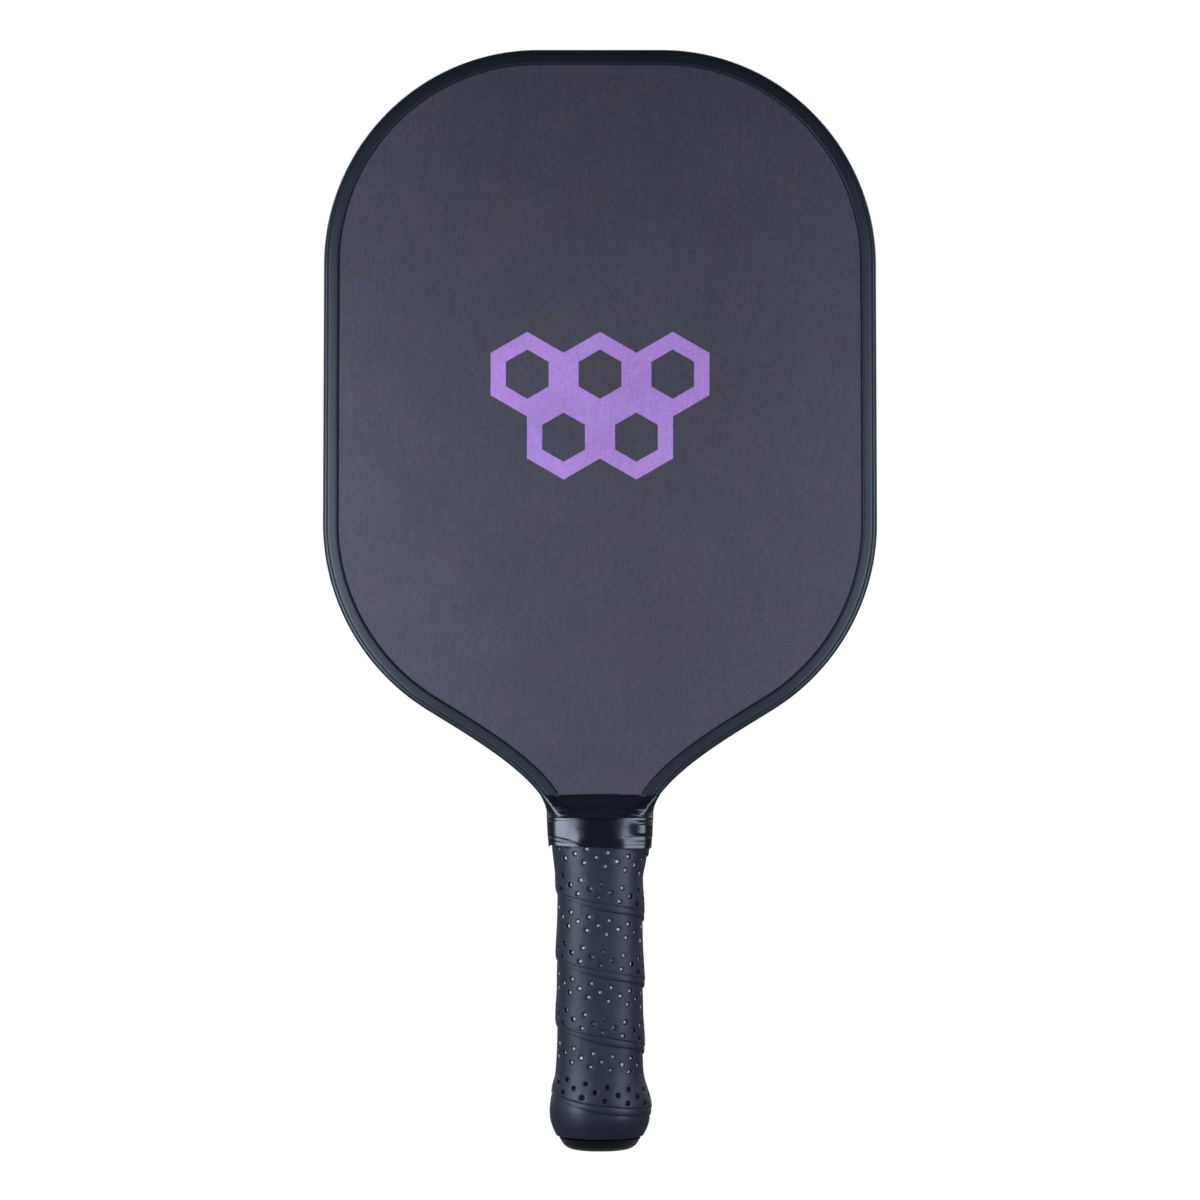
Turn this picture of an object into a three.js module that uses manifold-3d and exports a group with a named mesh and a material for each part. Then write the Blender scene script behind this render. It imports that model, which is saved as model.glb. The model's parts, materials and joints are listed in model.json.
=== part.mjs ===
// Pickleball paddle, built up as the real one is: a honeycomb core between two fleece scrims and two
// composite face sheets, a channel-shaped edge guard round the blade, a handle of two pallets bonded to the
// panel's tongue, a moulded butt cap, a cushion grip and the finishing tape over its top end.
//
// Units are millimetres. Heights below are measured from the butt end; the front face looks along -Y and the
// paddle is centred on X and Y. The exported frame has its origin at the middle of the grip.
import * as THREE from "three";
import { mergeVertices } from "three/addons/utils/BufferGeometryUtils.js";
import Module from "manifold-3d";

const wasm = await Module();
wasm.setup();

// ---- Blade outline: the outside of the edge guard, right half ----
const LENGTH = 400; // butt end to the top of the head
const TOP_HALF_WIDTH = 100.4; // where the top corner meets the side
const TOP_CORNER_RADIUS = 78;
const LOW_HALF_WIDTH = 100.8; // where the side meets the lower corner
const LOW_CORNER_RADIUS = 80;
const LOW_CORNER_HEIGHT = 228; // height of the lower corner's centre
const LOW_CORNER_SWEEP = THREE.MathUtils.degToRad(58);
const THROAT_HALF_WIDTH = 17.2;
const THROAT_HEIGHT = 119;
const THROAT_FLARE = 0.13; // how far the throat widens per millimetre of height
const THROAT_UPPER_PULL = 19.6; // lengths of the throat curve's two tangents
const THROAT_LOWER_PULL = 15.5;
const GUARD_END_HEIGHT = 106.5; // the guard's two tails run down to here under the grip
const CURVE_STEPS = 10; // per curve; an arc gets twice as many

// ---- Panel build-up, each thickness along Y ----
const CORE_THICKNESS = 12.7;
const SCRIM_THICKNESS = 0.2;
const SHEET_THICKNESS = 0.5;
const PRINT_THICKNESS = 0.08;
const CORE_FACE = CORE_THICKNESS / 2; // distance of each layer's outer side from the middle plane
const SCRIM_FACE = CORE_FACE + SCRIM_THICKNESS;
const SHEET_FACE = SCRIM_FACE + SHEET_THICKNESS;
const PRINT_FACE = SHEET_FACE + PRINT_THICKNESS;
const CELL_PITCH = 12; // honeycomb, across flats from wall middle to wall middle
const CELL_WALL = 0.55;
const CORE_RIM = 1.2; // least material left between a cell and the core's edge

// ---- Edge guard: a channel that grips the panel's edge ----
const GUARD_WEB = 1.5; // wall outside the panel's edge
const GUARD_LIP_REACH = 5.6; // from the outside of the guard to the lip's inner edge
const GUARD_LIP_THICKNESS = 1;
const GLUE_GAP = 0.05; // glue film between the lips and the face sheets
const EDGE_TAPE_THICKNESS = 0.5;
const FIT_GAP = 0.1; // clearance between neighbouring pieces

// ---- Handle ----
const HANDLE_HALF_WIDTH = 14.4; // bare pallets
const HANDLE_HALF_DEPTH = 13.3;
const HANDLE_BEVEL = 7; // leg of the octagon's corner cut
const PALLET_TOP = 122; // full depth ends here
const PALLET_TIP = 128; // and the ramp meets the blade here
const PALLET_TIP_DEPTH = 0.6;
const SPIGOT_TOP = 30.5; // below this the pallets are reduced to enter the butt cap
const CAP_WALL = 1.1;
const HANDLE_FOOT = 4.5; // lower end of the pallets and the tongue
const TONGUE_HALF_WIDTH = 11.6;

// ---- Grip ----
const CUSHION_THICKNESS = 0.7; // foam backing of the grip strip
const SKIN_THICKNESS = 0.7; // perforated outer layer of the grip strip
const GRIP_TOP = 121.5;
const TAPE_THICKNESS = 0.3;
const TAPE_FOOT = 110.6;
const TAPE_TOP = 128.4;
const ORIGIN_HEIGHT = 62; // middle of the length that a hand closes round

// ---- Staples ----
const STAPLE_CROWN = 9; // outside width
const STAPLE_LEG = 4.6;
const STAPLE_WIRE = 0.6;
const CAP_STAPLE_HEIGHT = 28.6;
const GRIP_STAPLE_HEIGHT = 15;

// What the grip lies on, from the foot of the grip to its top: [height, half width, half depth, bevel].
const GRIP_BED = [
  [5.8, 14.9, 13.8, 6],
  [10.5, 16.4, 15.3, 6],
  [15, 17.2, 16.1, 6],
  [19.5, 16.6, 15.5, 6.2],
  [24, 15.2, 14.1, 6.6],
  [28, HANDLE_HALF_WIDTH, HANDLE_HALF_DEPTH, HANDLE_BEVEL],
  [100, HANDLE_HALF_WIDTH, HANDLE_HALF_DEPTH, HANDLE_BEVEL],
  [GUARD_END_HEIGHT, 15.9, HANDLE_HALF_DEPTH, 3.6],
  [GRIP_TOP, 17.9, HANDLE_HALF_DEPTH, 3.2],
];
// Bare end of the butt cap below the grip, same columns.
const CAP_END = [
  [0, 8.4, 7.5, 3.6],
  [0.7, 11.2, 10.2, 4.6],
  [2.2, 13.2, 12.2, 5.2],
  [4.2, 14.7, 13.6, 5.8],
];

// ---- Printed emblem: a plain cluster of five honeycomb cells ----
const EMBLEM_HEIGHT = 270.5; // of its middle
const EMBLEM_PITCH = 26.4;
const EMBLEM_HOLE = 15.5; // across flats
const EMBLEM_OVERLAP = 0.2; // neighbouring cells run into each other by this much

const COLOURS = {
  polymer: { color: 0xd9dad6, roughness: 0.6, metalness: 0 },
  fleece: { color: 0xe6e4dc, roughness: 0.95, metalness: 0 },
  weave: { color: 0x45414d, roughness: 0.55, metalness: 0 },
  print: { color: 0x9a78bd, roughness: 0.5, metalness: 0 },
  guard: { color: 0x28303b, roughness: 0.4, metalness: 0 },
  adhesive: { color: 0xcfc9b4, roughness: 0.8, metalness: 0 },
  pallet: { color: 0xb8a98c, roughness: 0.85, metalness: 0 },
  cap: { color: 0x0d0f13, roughness: 0.25, metalness: 0 },
  foam: { color: 0x8f9298, roughness: 0.9, metalness: 0 },
  grip: { color: 0x2b303a, roughness: 0.5, metalness: 0 },
  tape: { color: 0x0c0f15, roughness: 0.15, metalness: 0 },
  steel: { color: 0xa9abae, roughness: 0.35, metalness: 1 },
};

// ------------------------------------------------------------------ solids

/** A closed three.js geometry as a manifold-3d solid. */
function toSolid(geometry) {
  const bare = geometry.index ? geometry.toNonIndexed() : geometry.clone();
  bare.deleteAttribute("normal");
  bare.deleteAttribute("uv");
  const merged = mergeVertices(bare, 1e-4);
  return new wasm.Manifold(
    new wasm.Mesh({
      numProp: 3,
      vertProperties: merged.attributes.position.array,
      triVerts: new Uint32Array(merged.index.array),
    }),
  );
}

/** A manifold-3d solid as a three.js geometry. */
function toGeometry(solid) {
  const mesh = solid.getMesh();
  const geometry = new THREE.BufferGeometry();
  geometry.setAttribute("position", new THREE.BufferAttribute(mesh.vertProperties, 3));
  geometry.setIndex(new THREE.BufferAttribute(mesh.triVerts, 1));
  return geometry;
}

/** A body less every one of the tools. */
function cut(body, ...tools) {
  const solid = tools.reduce((left, tool) => left.subtract(toSolid(tool)), toSolid(body));
  return toGeometry(solid);
}

/** Several overlapping geometries as one. */
function join(...pieces) {
  const [first, ...others] = pieces.map(toSolid);
  return toGeometry(others.reduce((whole, piece) => whole.add(piece), first));
}

/** A box between two corners. */
function boxBetween(low, high) {
  const size = high.map((value, axis) => value - low[axis]);
  const middle = high.map((value, axis) => (value + low[axis]) / 2);
  return new THREE.BoxGeometry(...size).translate(...middle);
}

/** An upright plate: the shape's own y becomes the height, and it fills yFront to yRear. */
function plate(shape, yFront, yRear) {
  const depth = yRear - yFront;
  const geometry = new THREE.ExtrudeGeometry(shape, { depth, bevelEnabled: false });
  return geometry.rotateX(Math.PI / 2).translate(0, yRear, 0);
}

/** The same plate for the rear of the paddle, mirrored in the middle plane. */
function rearPlate(shape, yFront, yRear) {
  return plate(shape, -yRear, -yFront);
}

/** The solid through a rising stack of level rings of equal length, each anticlockwise seen from above. */
function loft(rings) {
  const count = rings[0].length;
  const positions = rings.flat().flatMap((point) => point.toArray());
  const faces = [];
  for (let band = 0; band < rings.length - 1; band++) {
    const low = band * count;
    const high = low + count;
    for (let i = 0; i < count; i++) {
      const next = (i + 1) % count;
      faces.push(low + i, low + next, high + next);
      faces.push(low + i, high + next, high + i);
    }
  }
  const lid = (rings.length - 1) * count;
  for (let i = 1; i < count - 1; i++) {
    faces.push(0, i + 1, i);
    faces.push(lid, lid + i, lid + i + 1);
  }
  const geometry = new THREE.BufferGeometry();
  geometry.setAttribute("position", new THREE.Float32BufferAttribute(positions, 3));
  geometry.setIndex(faces);
  return geometry;
}

// ------------------------------------------------------------------ blade outline

/** The outside of the guard from the left tail, over the head, to the right tail, as x and height. */
function guardOutline() {
  const top = LENGTH - TOP_CORNER_RADIUS;
  const half = new THREE.Path();
  half.moveTo(0, LENGTH);
  half.lineTo(TOP_HALF_WIDTH - TOP_CORNER_RADIUS, LENGTH);
  half.absarc(TOP_HALF_WIDTH - TOP_CORNER_RADIUS, top, TOP_CORNER_RADIUS, Math.PI / 2, 0, true);
  half.lineTo(LOW_HALF_WIDTH, LOW_CORNER_HEIGHT);
  const centreX = LOW_HALF_WIDTH - LOW_CORNER_RADIUS;
  half.absarc(centreX, LOW_CORNER_HEIGHT, LOW_CORNER_RADIUS, 0, -LOW_CORNER_SWEEP, true);
  const { x, y } = half.currentPoint;
  half.bezierCurveTo(
    x - THROAT_UPPER_PULL * Math.sin(LOW_CORNER_SWEEP),
    y - THROAT_UPPER_PULL * Math.cos(LOW_CORNER_SWEEP),
    THROAT_HALF_WIDTH + THROAT_LOWER_PULL * THROAT_FLARE,
    THROAT_HEIGHT + THROAT_LOWER_PULL,
    THROAT_HALF_WIDTH,
    THROAT_HEIGHT,
  );
  const fall = THROAT_HEIGHT - GUARD_END_HEIGHT;
  half.lineTo(THROAT_HALF_WIDTH - fall * THROAT_FLARE, GUARD_END_HEIGHT);
  const apart = (point, i, all) => i === 0 || point.distanceTo(all[i - 1]) > 0.01;
  const right = half.getPoints(CURVE_STEPS).filter(apart);
  const left = right.slice(1).map((point) => new THREE.Vector2(-point.x, point.y));
  return [...left.reverse(), ...right];
}

const OUTLINE = guardOutline();
// Unit normals of the outline, pointing into the blade.
const INWARD = OUTLINE.map((point, i) => {
  const before = OUTLINE[Math.max(i - 1, 0)];
  const after = OUTLINE[Math.min(i + 1, OUTLINE.length - 1)];
  const along = after.clone().sub(before).normalize();
  return new THREE.Vector2(along.y, -along.x);
});

/** The outline moved into the blade by a distance. */
function inset(distance) {
  return OUTLINE.map((point, i) => point.clone().addScaledVector(INWARD[i], distance));
}

const PANEL_INSET = GUARD_WEB + EDGE_TAPE_THICKNESS + FIT_GAP;

/** The panel's outline: the blade inside the guard, and the tongue that runs down the handle. */
function panelOutline() {
  const blade = inset(PANEL_INSET);
  const shoulder = blade[0].y;
  return [
    new THREE.Vector2(-TONGUE_HALF_WIDTH, HANDLE_FOOT),
    new THREE.Vector2(-TONGUE_HALF_WIDTH, shoulder),
    ...blade,
    new THREE.Vector2(TONGUE_HALF_WIDTH, shoulder),
    new THREE.Vector2(TONGUE_HALF_WIDTH, HANDLE_FOOT),
  ];
}

// ------------------------------------------------------------------ panel

/** The six corners of a cell that stands on a point, by its size across flats. */
function hexagon(x, height, acrossFlats) {
  const radius = acrossFlats / Math.sqrt(3);
  return Array.from({ length: 6 }, (_, corner) => {
    const angle = Math.PI / 6 + (corner * Math.PI) / 3;
    return new THREE.Vector2(x + radius * Math.cos(angle), height + radius * Math.sin(angle));
  });
}

/** Whether a point lies inside a polygon. */
function contains(polygon, point) {
  let inside = false;
  polygon.forEach((a, i) => {
    const b = polygon[(i + 1) % polygon.length];
    const crosses = a.y > point.y !== b.y > point.y;
    if (crosses && point.x < a.x + ((point.y - a.y) / (b.y - a.y)) * (b.x - a.x)) inside = !inside;
  });
  return inside;
}

/** The open cells of the core: every whole cell that leaves the rim its least material. */
function coreCells(outline) {
  const rowHeight = (CELL_PITCH * Math.sqrt(3)) / 2;
  const rows = Math.ceil(LENGTH / rowHeight);
  const columns = Math.ceil(LOW_HALF_WIDTH / CELL_PITCH);
  const open = CELL_PITCH - CELL_WALL;
  const cells = [];
  for (let row = 0; row <= rows; row++) {
    for (let column = -columns; column <= columns; column++) {
      const x = (column + (row % 2) / 2) * CELL_PITCH;
      const height = HANDLE_FOOT + row * rowHeight;
      const reach = hexagon(x, height, open + 2 * CORE_RIM);
      if (reach.every((corner) => contains(outline, corner))) cells.push(hexagon(x, height, open));
    }
  }
  return cells;
}

function honeycombCore() {
  const outline = panelOutline();
  const shape = new THREE.Shape(outline);
  shape.holes = coreCells(outline).map((cell) => new THREE.Path(cell));
  return plate(shape, -CORE_FACE, CORE_FACE);
}

/** The printed emblem's outline, a row of three cells over a row of two, as one flat solid. */
function emblem(yFront, yRear) {
  const rowHeight = (EMBLEM_PITCH * Math.sqrt(3)) / 2;
  const rows = [
    { height: EMBLEM_HEIGHT + rowHeight / 2, columns: [-1, 0, 1] },
    { height: EMBLEM_HEIGHT - rowHeight / 2, columns: [-0.5, 0.5] },
  ];
  const cells = rows.flatMap(({ height, columns }) =>
    columns.map((column) => {
      const x = column * EMBLEM_PITCH;
      const shape = new THREE.Shape(hexagon(x, height, EMBLEM_PITCH + EMBLEM_OVERLAP));
      shape.holes = [new THREE.Path(hexagon(x, height, EMBLEM_HOLE))];
      return plate(shape, yFront, yRear);
    }),
  );
  return join(...cells);
}

// ------------------------------------------------------------------ edge guard

/** One strip swept along the blade's outline. The section's points are [inset, y], clockwise in those axes. */
function sweepRound(section) {
  const rings = OUTLINE.map((point, i) =>
    section.map(([distance, y]) => {
      const at = point.clone().addScaledVector(INWARD[i], distance);
      return new THREE.Vector3(at.x, y, at.y);
    }),
  );
  const count = section.length;
  const positions = rings.flat().flatMap((point) => point.toArray());
  const faces = [];
  for (let ring = 0; ring < rings.length - 1; ring++) {
    for (let i = 0; i < count; i++) {
      const a = ring * count + i;
      const b = ring * count + ((i + 1) % count);
      faces.push(a, b + count, b, a, a + count, b + count);
    }
  }
  const flat = section.map(([distance, y]) => new THREE.Vector2(distance, y));
  const last = (rings.length - 1) * count;
  for (const [a, b, c] of THREE.ShapeUtils.triangulateShape(flat, [])) {
    faces.push(a, c, b, last + a, last + b, last + c);
  }
  const geometry = new THREE.BufferGeometry();
  geometry.setAttribute("position", new THREE.Float32BufferAttribute(positions, 3));
  geometry.setIndex(faces);
  return geometry;
}

/** The channel's section, its outer corners rounded, and its lips cut away where the pallets stand. */
function edgeGuard() {
  const lipFloor = SHEET_FACE + GLUE_GAP;
  const outside = lipFloor + GUARD_LIP_THICKNESS;
  const rearHalf = [
    [0, 5.4],
    [0.4, 7.2],
    [1.4, outside],
    [GUARD_LIP_REACH - 0.4, outside],
    [GUARD_LIP_REACH, outside - 0.3],
    [GUARD_LIP_REACH, lipFloor],
    [GUARD_WEB, lipFloor],
  ];
  const frontHalf = rearHalf.map(([distance, y]) => [distance, -y]).reverse();
  const channel = sweepRound([...rearHalf, ...frontHalf]);
  const notches = [-1, 1].map((side) => {
    const near = side * SHEET_FACE;
    const far = side * (outside + 1);
    return boxBetween(
      [-HANDLE_HALF_WIDTH - FIT_GAP, Math.min(near, far), GUARD_END_HEIGHT - 1],
      [HANDLE_HALF_WIDTH + FIT_GAP, Math.max(near, far), PALLET_TIP + FIT_GAP],
    );
  });
  return cut(channel, ...notches);
}

/** Double-sided tape between the panel's edge and the guard's web. */
function edgeGuardTape() {
  const outer = GUARD_WEB + FIT_GAP;
  const inner = outer + EDGE_TAPE_THICKNESS;
  return sweepRound([
    [outer, -CORE_FACE],
    [outer, CORE_FACE],
    [inner, CORE_FACE],
    [inner, -CORE_FACE],
  ]);
}

// ------------------------------------------------------------------ handle

/** A ring in the shape of the handle: an octagon whose eight corners are each cut once more. */
function handleRing(height, halfWidth, halfDepth, bevel) {
  const soften = 0.22; // share of an edge that the extra cut takes at each end
  const corners = [
    [halfWidth, bevel - halfDepth],
    [halfWidth, halfDepth - bevel],
    [halfWidth - bevel, halfDepth],
    [bevel - halfWidth, halfDepth],
    [-halfWidth, halfDepth - bevel],
    [-halfWidth, bevel - halfDepth],
    [bevel - halfWidth, -halfDepth],
    [halfWidth - bevel, -halfDepth],
  ].map(([x, y]) => new THREE.Vector3(x, y, height));
  return corners.flatMap((corner, i) => {
    const next = corners[(i + 1) % corners.length];
    return [corner.clone().lerp(next, soften), corner.clone().lerp(next, 1 - soften)];
  });
}

/** A station of the handle grown outwards by a distance on every side. */
function grown([height, halfWidth, halfDepth, bevel], distance) {
  const bevelGrowth = distance * (2 - Math.SQRT2);
  return handleRing(height, halfWidth + distance, halfDepth + distance, bevel + bevelGrowth);
}

/** The solid through a run of stations grown by a distance. */
function bar(stations, distance) {
  return loft(stations.map((station) => grown(station, distance)));
}

/** A tube over a run of stations, between two distances from them. */
function sleeve(stations, inner, outer) {
  return cut(bar(stations, outer), bar(stations, inner));
}

/** Half of the handle's core, on the front (-1) or the rear (+1) of the tongue. */
function pallet(side) {
  const spigot = -CAP_WALL - FIT_GAP;
  const face = SHEET_FACE + FIT_GAP;
  const full = (height) => [height, HANDLE_HALF_WIDTH, HANDLE_HALF_DEPTH, HANDLE_BEVEL];
  const body = loft([
    grown(full(HANDLE_FOOT), spigot),
    grown(full(SPIGOT_TOP), spigot),
    grown(full(SPIGOT_TOP), 0),
    grown(full(PALLET_TOP), 0),
    handleRing(PALLET_TIP, HANDLE_HALF_WIDTH, face + PALLET_TIP_DEPTH, 0.5),
  ]);
  const otherHalf = boxBetween(
    [-HANDLE_HALF_WIDTH - 1, side > 0 ? -LENGTH : -face, 0],
    [HANDLE_HALF_WIDTH + 1, side > 0 ? face : LENGTH, LENGTH],
  );
  return cut(body, otherHalf, capStaple(side, FIT_GAP));
}

// ------------------------------------------------------------------ butt cap and staples

/** The moulded cap: a rounded knob that flares under the grip, with a socket for the pallets. */
function buttCap() {
  const skirt = GRIP_BED.filter(([height]) => height < SPIGOT_TOP);
  const rim = [SPIGOT_TOP - FIT_GAP, HANDLE_HALF_WIDTH, HANDLE_HALF_DEPTH, HANDLE_BEVEL];
  const outside = bar([...CAP_END, ...skirt, rim], 0);
  const socketFloor = [HANDLE_FOOT - FIT_GAP, ...rim.slice(1)];
  const socketMouth = [SPIGOT_TOP + 1, ...rim.slice(1)];
  const socket = bar([socketFloor, socketMouth], -CAP_WALL);
  const staples = [capStaple(-1, FIT_GAP), capStaple(1, FIT_GAP), gripStaple(FIT_GAP)];
  return cut(outside, socket, ...staples);
}

/** A wire staple grown by a gap. Its crown lies across X at the height given, its outer side is at depth y on
 *  the front (-1) or the rear (+1), and its legs point at the middle plane. */
function staple(side, y, height, leg, gap) {
  const halfCrown = STAPLE_CROWN / 2;
  const low = height - STAPLE_WIRE / 2 - gap;
  const high = height + STAPLE_WIRE / 2 + gap;
  const between = (x0, x1, y0, y1) => {
    const ys = [side * y0, side * y1].sort((a, b) => a - b);
    return boxBetween([x0, ys[0], low], [x1, ys[1], high]);
  };
  const crown = between(-halfCrown - gap, halfCrown + gap, y - STAPLE_WIRE - gap, y + gap);
  const legs = [-1, 1].map((end) => {
    const outer = end * (halfCrown + gap);
    const inner = end * (halfCrown - STAPLE_WIRE - gap);
    return between(Math.min(outer, inner), Math.max(outer, inner), y - leg - gap, y + gap);
  });
  return join(crown, ...legs);
}

/** Holds the cap's skirt to a pallet. */
function capStaple(side, gap) {
  return staple(side, HANDLE_HALF_DEPTH, CAP_STAPLE_HEIGHT, STAPLE_LEG, gap);
}

/** Tacks the grip strip's cut start to the rear of the cap. */
function gripStaple(gap) {
  const [, , depth] = GRIP_BED.find(([height]) => height === GRIP_STAPLE_HEIGHT);
  return staple(1, depth, GRIP_STAPLE_HEIGHT, 2.4, gap);
}

// ------------------------------------------------------------------ grip and tape

const CUSHION_OUTSIDE = FIT_GAP + CUSHION_THICKNESS;
const SKIN_OUTSIDE = CUSHION_OUTSIDE + SKIN_THICKNESS;

/** Foam backing of the wound grip strip. */
function gripCushion() {
  return sleeve(GRIP_BED, FIT_GAP, CUSHION_OUTSIDE);
}

/** Outer layer of the wound grip strip. */
function gripWrap() {
  return sleeve(GRIP_BED, CUSHION_OUTSIDE, SKIN_OUTSIDE);
}

/** Finishing tape: over the grip's top end, down the step in front of it, and over the pallets' ramps. */
function finishingTape() {
  const overGrip = SKIN_OUTSIDE + FIT_GAP;
  const bedAt = (height) => {
    const [lower, upper] = GRIP_BED.slice(-2);
    const share = (height - lower[0]) / (upper[0] - lower[0]);
    return lower.map((value, i) => THREE.MathUtils.lerp(value, upper[i], share));
  };
  const onGrip = [TAPE_FOOT, GRIP_TOP + FIT_GAP].map((height) => {
    const [, halfWidth, halfDepth, bevel] = bedAt(height);
    return [height, halfWidth + overGrip, halfDepth + overGrip, bevel + overGrip / 2];
  });
  const onRamp = [
    [PALLET_TOP + 0.6, 19, HANDLE_HALF_DEPTH + 0.2, 3.2],
    [TAPE_TOP, 22, SHEET_FACE + GUARD_LIP_THICKNESS + 0.4, 0.8],
  ];
  return sleeve([...onGrip, ...onRamp], 0, TAPE_THICKNESS);
}

// ------------------------------------------------------------------ assembly

const paddle = new THREE.Group();
paddle.position.z = -ORIGIN_HEIGHT;

function add(name, geometry, colour) {
  const mesh = new THREE.Mesh(geometry, new THREE.MeshStandardMaterial(COLOURS[colour]));
  mesh.name = name;
  paddle.add(mesh);
}

const PANEL = new THREE.Shape(panelOutline());
add("honeycomb_core", honeycombCore(), "polymer");
add("front_scrim", plate(PANEL, -SCRIM_FACE, -CORE_FACE), "fleece");
add("rear_scrim", rearPlate(PANEL, -SCRIM_FACE, -CORE_FACE), "fleece");
add("front_face_sheet", plate(PANEL, -SHEET_FACE, -SCRIM_FACE), "weave");
add("rear_face_sheet", rearPlate(PANEL, -SHEET_FACE, -SCRIM_FACE), "weave");
add("front_emblem", emblem(-PRINT_FACE, -SHEET_FACE), "print");
add("rear_emblem", emblem(SHEET_FACE, PRINT_FACE), "print");
add("edge_guard", edgeGuard(), "guard");
add("edge_guard_tape", edgeGuardTape(), "adhesive");
add("front_handle_pallet", pallet(-1), "pallet");
add("rear_handle_pallet", pallet(1), "pallet");
add("butt_cap", buttCap(), "cap");
add("front_cap_staple", capStaple(-1, 0), "steel");
add("rear_cap_staple", capStaple(1, 0), "steel");
add("grip_start_staple", gripStaple(0), "steel");
add("grip_cushion", gripCushion(), "foam");
add("grip_wrap", gripWrap(), "grip");
add("finishing_tape", finishingTape(), "tape");

const part = new THREE.Group();
part.add(paddle);

export default part;
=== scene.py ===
"""Pickleball paddle: the looks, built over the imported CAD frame.

Shapes are sized in millimetres, with heights measured from the butt end, and become metres in the row's frame
when a mesh is made. Materials, lights and the camera are in metres.
"""

import json
import math

import bmesh
import bpy
import numpy as np
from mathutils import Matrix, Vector, noise

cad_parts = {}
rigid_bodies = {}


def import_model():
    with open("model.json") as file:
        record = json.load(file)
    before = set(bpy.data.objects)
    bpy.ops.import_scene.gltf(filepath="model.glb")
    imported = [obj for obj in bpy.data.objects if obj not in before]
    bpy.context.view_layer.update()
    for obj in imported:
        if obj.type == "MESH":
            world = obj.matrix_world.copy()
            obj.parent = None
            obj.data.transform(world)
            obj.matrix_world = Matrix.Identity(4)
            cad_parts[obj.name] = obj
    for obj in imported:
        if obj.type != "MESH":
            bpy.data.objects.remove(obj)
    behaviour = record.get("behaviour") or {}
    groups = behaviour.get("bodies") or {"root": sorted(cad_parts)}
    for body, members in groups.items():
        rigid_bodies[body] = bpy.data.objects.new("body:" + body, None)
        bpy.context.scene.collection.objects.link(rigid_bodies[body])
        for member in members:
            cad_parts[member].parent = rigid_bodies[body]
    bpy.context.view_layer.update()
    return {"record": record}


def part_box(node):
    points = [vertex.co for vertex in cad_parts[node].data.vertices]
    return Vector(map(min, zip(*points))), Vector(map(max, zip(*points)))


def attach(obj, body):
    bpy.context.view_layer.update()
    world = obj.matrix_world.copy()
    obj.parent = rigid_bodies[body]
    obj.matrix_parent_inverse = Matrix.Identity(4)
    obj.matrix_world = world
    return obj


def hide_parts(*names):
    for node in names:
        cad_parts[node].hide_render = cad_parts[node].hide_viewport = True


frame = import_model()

BUTT_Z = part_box("butt_cap")[0][2] * 1000  # the butt end's height in the row frame

# ------------------------------------------------------------------ dimensions, as in the CAD
LENGTH = 400
TOP_HALF_WIDTH, TOP_RADIUS = 100.4, 78
LOW_HALF_WIDTH, LOW_RADIUS, LOW_HEIGHT = 100.8, 80, 228
LOW_SWEEP = math.radians(58)
THROAT = (17.2, 119, 0.13, 19.6, 15.5)  # half width, height, flare, upper pull, lower pull
GUARD_END = 106.5
SHEET_FACE = 7.05
PALLET_HALF_WIDTH, PALLET_HALF_DEPTH, PALLET_BEVEL, PALLET_TIP = 14.4, 13.3, 7, 128
CAP_TOP = 30.4  # the butt cap's upper rim, above which the pallets are bare
GRIP_FOOT, GRIP_TOP = 5.8, 121.5
# What the grip lies on: height, half width, half depth, bevel.
GRIP_BED = np.array([
    (5.8, 14.9, 13.8, 8.2), (10.5, 16.4, 15.3, 9), (15, 17.2, 16.1, 9.6), (19.5, 16.6, 15.5, 9.2),
    (24, 15.2, 14.1, 8), (28, 14.4, 13.3, 7), (100, 14.4, 13.3, 7), (106.5, 15.9, 13.3, 7.6),
    (121.5, 17.9, 13.3, 8.2),
])
WELD = 2e-6  # points closer than this, in metres, become one
NOISE_RADIUS = 16  # of the circle on which noise is read round the grip


# ------------------------------------------------------------------ meshes
def make(name, points, faces, materials, smooth=35, face_material=None):
    """A mesh object from points in millimetres, smooth-shaded except at edges sharper than an angle."""
    mesh = bpy.data.meshes.new(name)
    placed = np.asarray(points, float).reshape(-1, 3) + (0, 0, BUTT_Z)
    mesh.from_pydata((placed * 0.001).tolist(), [], faces)
    obj = bpy.data.objects.new(name, mesh)
    bpy.context.scene.collection.objects.link(obj)
    for m in materials:
        mesh.materials.append(m)
    if face_material is not None:
        mesh.polygons.foreach_set("material_index", face_material)
    work = bmesh.new()
    work.from_mesh(mesh)
    bmesh.ops.remove_doubles(work, verts=work.verts, dist=WELD)
    bmesh.ops.dissolve_degenerate(work, edges=work.edges, dist=WELD)
    bmesh.ops.recalc_face_normals(work, faces=work.faces)
    work.to_mesh(mesh)
    work.free()
    mesh.shade_smooth()
    mesh.set_sharp_from_angle(angle=math.radians(smooth))
    mesh.update()
    return obj


def tube_faces(rings, count, joined=False):
    """Quads between consecutive rings of equal length; joined adds those from the last ring to the first."""
    faces = []
    for a in range(rings if joined else rings - 1):
        b = (a + 1) % rings
        for i in range(count):
            j = (i + 1) % count
            faces.append((a * count + i, a * count + j, b * count + j, b * count + i))
    return faces


def fuzz(x, y, z, scale, seed=0):
    """Smooth noise from -1 to 1 over a length in millimetres."""
    return noise.noise(Vector((x / scale + seed * 17.3, y / scale - seed * 5.1, z / scale + seed * 9.7)))


def smoothstep(t):
    """An even rise from 0 to 1 as t goes from 0 to 1."""
    t = min(max(t, 0), 1)
    return t * t * (3 - 2 * t)


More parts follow.
